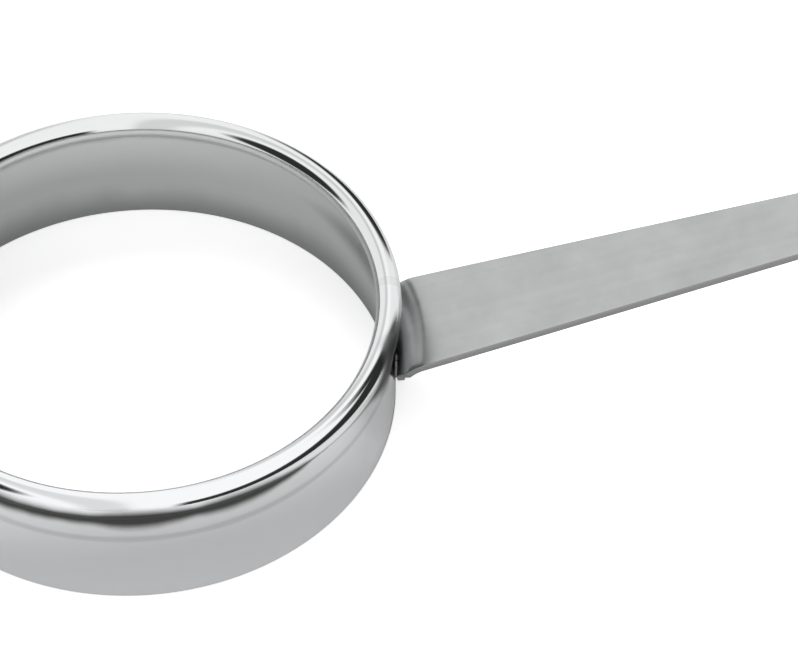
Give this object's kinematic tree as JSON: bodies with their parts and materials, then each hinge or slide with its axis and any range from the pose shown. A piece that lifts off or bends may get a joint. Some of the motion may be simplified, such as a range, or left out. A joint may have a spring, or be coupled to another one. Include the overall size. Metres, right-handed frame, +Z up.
{
  "type": "egg ring",
  "caption": "Round stainless steel egg ring: short open band with a rolled rim and a tapered flat strip handle welded to its side, keeps a frying egg round.",
  "frame": {"origin": "on the plane that the band stands on, under the middle of the whole outline from the band's far side to the handle's tip", "axes": "+X from the ring out along the handle, +Z up, +Y across the handle"},
  "size_m": [0.207, 0.1056, 0.0439],
  "materials": {
    "polished_sheet": "bright polished stainless sheet",
    "dressed_weld": "weld ground flush and polished",
    "satin_strip": "satin, fine grain along the strip",
    "spot_nugget": "dull electrode mark"
  },
  "bodies": {
    "root": {"ring_band": "polished_sheet", "band_seam_weld": "dressed_weld", "handle": "satin_strip", "spot_weld_left": "spot_nugget", "spot_weld_right": "spot_nugget"}
  },
  "joints": []
}
